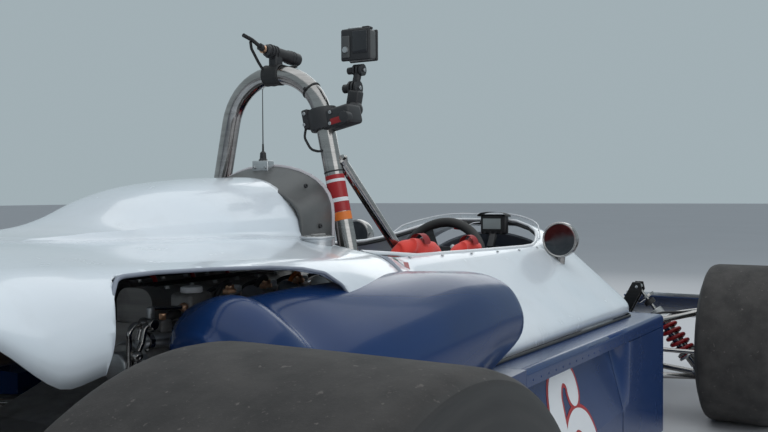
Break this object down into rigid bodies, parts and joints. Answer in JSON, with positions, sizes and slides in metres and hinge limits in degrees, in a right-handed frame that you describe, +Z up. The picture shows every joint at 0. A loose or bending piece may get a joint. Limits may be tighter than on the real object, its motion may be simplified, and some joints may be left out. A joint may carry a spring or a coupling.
{
  "type": "open wheel single-seat racing car",
  "caption": "Late 1970s open wheel single-seater in white over blue, with slick tyres, wings, a bright roll hoop, working steering and freely turning wheels.",
  "frame": {"origin": "on the ground under the middle of the wheelbase, on the centre line", "axes": "+X forward, +Y to the car's left, +Z up"},
  "size_m": [3.98, 1.6862, 1.092],
  "materials": {
    "blue_paint": "gloss",
    "white_paint": "gloss",
    "bright_tube": "polished",
    "grey_shell": "satin",
    "black_trim": "matte",
    "clear_screen": "clear",
    "mirror_glass": "polished",
    "cast_alloy": "cast",
    "machined_alloy": "satin",
    "spring_red": "gloss",
    "exhaust_steel": "satin",
    "rim_alloy": "satin",
    "slick_rubber": "matte",
    "seat_cloth": "matte",
    "black_steel": "satin"
  },
  "bodies": {
    "chassis": {"tub": "blue_paint", "side_pods": "blue_paint", "cockpit_surround": "white_paint", "nose": "white_paint", "front_wings": "blue_paint", "engine_cover": "white_paint", "hip_ducts": "blue_paint", "roll_hoop": "bright_tube", "headrest": "grey_shell", "seat": "seat_cloth", "dashboard": "black_trim", "lap_timer": "black_trim", "windscreen": "clear_screen", "mirrors": "bright_tube", "mirror_glasses": "mirror_glass", "filler_cap": "machined_alloy", "action_camera": "black_trim", "bullet_camera": "black_trim", "antenna": "black_trim", "engine": "cast_alloy", "intakes": "machined_alloy", "exhaust": "exhaust_steel", "gearbox": "cast_alloy", "rear_beam": "black_steel", "rear_wing": "blue_paint", "wing_pylon": "machined_alloy", "front_wishbones": "bright_tube", "damper_brackets": "black_steel", "dampers": "bright_tube", "springs": "spring_red", "rear_wishbones": "bright_tube", "rear_uprights": "machined_alloy", "rack_housing": "machined_alloy"},
    "knuckle_left": {"front_upright_left": "machined_alloy"},
    "knuckle_right": {"front_upright_right": "machined_alloy"},
    "wheel_front_left": {"front_rim_left": "rim_alloy", "front_tyre_left": "slick_rubber"},
    "wheel_front_right": {"front_rim_right": "rim_alloy", "front_tyre_right": "slick_rubber"},
    "wheel_rear_left": {"rear_rim_left": "rim_alloy", "rear_tyre_left": "slick_rubber", "driveshaft_left": "black_steel"},
    "wheel_rear_right": {"rear_rim_right": "rim_alloy", "rear_tyre_right": "slick_rubber", "driveshaft_right": "black_steel"},
    "steering": {"steering_wheel": "black_trim"},
    "rack": {"steering_rack": "bright_tube"}
  },
  "joints": [
    {"name": "steer_left", "type": "hinge", "parent": "chassis", "child": "knuckle_left", "pos_m": [1.225, 0.61, 0.26], "axis": [0, 0, 1], "range_deg": [-18, 18]},
    {"name": "steer_right", "type": "hinge", "parent": "chassis", "child": "knuckle_right", "pos_m": [1.225, -0.61, 0.26], "axis": [0, 0, 1], "range_deg": [-18, 18]},
    {"name": "steering_wheel_turn", "type": "hinge", "parent": "chassis", "child": "steering", "pos_m": [0.345, 0, 0.56], "axis": [0.9247, 0, -0.3807], "range_deg": [-180, 180]},
    {"name": "rack_slide", "type": "slide", "parent": "chassis", "child": "rack", "axis": [0, 1, 0], "range_m": [-0.034, 0.034]},
    {"name": "spin_front_left", "type": "hinge", "parent": "knuckle_left", "child": "wheel_front_left", "pos_m": [1.225, 0.684, 0.26], "axis": [0, 1, 0], "continuous": true},
    {"name": "spin_front_right", "type": "hinge", "parent": "knuckle_right", "child": "wheel_front_right", "pos_m": [1.225, -0.684, 0.26], "axis": [0, 1, 0], "continuous": true},
    {"name": "spin_rear_left", "type": "hinge", "parent": "chassis", "child": "wheel_rear_left", "pos_m": [-1.225, 0.678, 0.311], "axis": [0, 1, 0], "continuous": true},
    {"name": "spin_rear_right", "type": "hinge", "parent": "chassis", "child": "wheel_rear_right", "pos_m": [-1.225, -0.678, 0.311], "axis": [0, 1, 0], "continuous": true}
  ],
  "couplings": [
    {"joint": "steer_right", "follows": "steer_left", "ratio": 1},
    {"joint": "steering_wheel_turn", "follows": "steer_left", "ratio": -10},
    {"joint": "rack_slide", "follows": "steer_left", "m_per_rad": -0.105}
  ]
}
